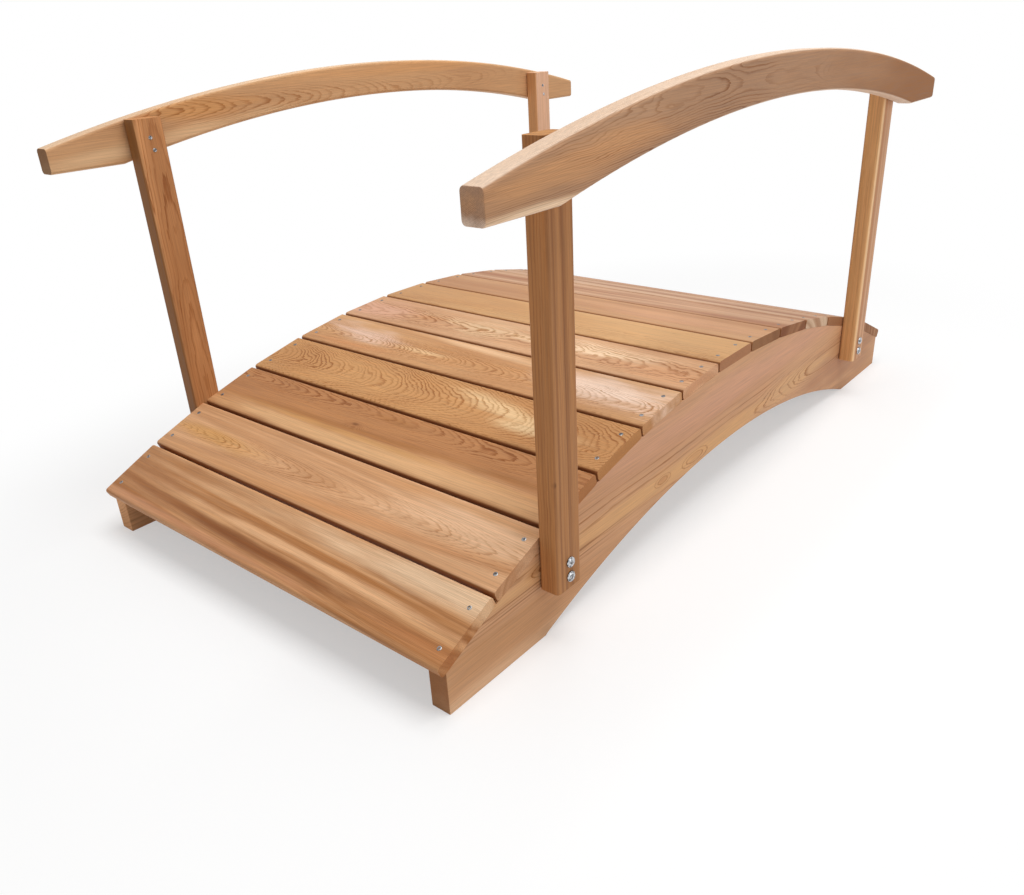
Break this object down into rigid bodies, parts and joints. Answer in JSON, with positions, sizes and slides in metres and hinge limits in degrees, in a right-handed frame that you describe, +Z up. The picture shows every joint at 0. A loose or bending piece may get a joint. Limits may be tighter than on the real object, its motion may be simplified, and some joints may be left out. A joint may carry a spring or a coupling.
{
  "type": "garden bridge",
  "caption": "Arched cedar garden footbridge with a boarded deck on curved stringers, upright posts bolted outside them and curved handrails, for crossing a bed or a small stream.",
  "frame": {"origin": "on the ground at the middle of the bridge, centred between the stringers", "axes": "+X along the walk from the near end to the far end, +Y to the left, +Z up"},
  "size_m": [1.8034, 1.1176, 0.8634],
  "materials": {
    "stringer_cedar": "planed bare cedar, orange brown",
    "deck_cedar": "planed bare cedar, mixed honey and red brown boards",
    "post_cedar": "planed bare cedar, darker brown straight grain",
    "rail_cedar": "planed bare cedar, pale top edges"
  },
  "bodies": {
    "root": {"left_stringer": "stringer_cedar", "right_stringer": "stringer_cedar", "deck_board_01": "deck_cedar", "deck_board_02": "deck_cedar", "deck_board_03": "deck_cedar", "deck_board_04": "deck_cedar", "deck_board_05": "deck_cedar", "deck_board_06": "deck_cedar", "deck_board_07": "deck_cedar", "deck_board_08": "deck_cedar", "deck_board_09": "deck_cedar", "deck_board_10": "deck_cedar", "deck_board_11": "deck_cedar", "deck_board_12": "deck_cedar", "deck_board_13": "deck_cedar", "near_left_post": "post_cedar", "near_right_post": "post_cedar", "far_left_post": "post_cedar", "far_right_post": "post_cedar", "left_rail": "rail_cedar", "right_rail": "rail_cedar"}
  },
  "joints": []
}
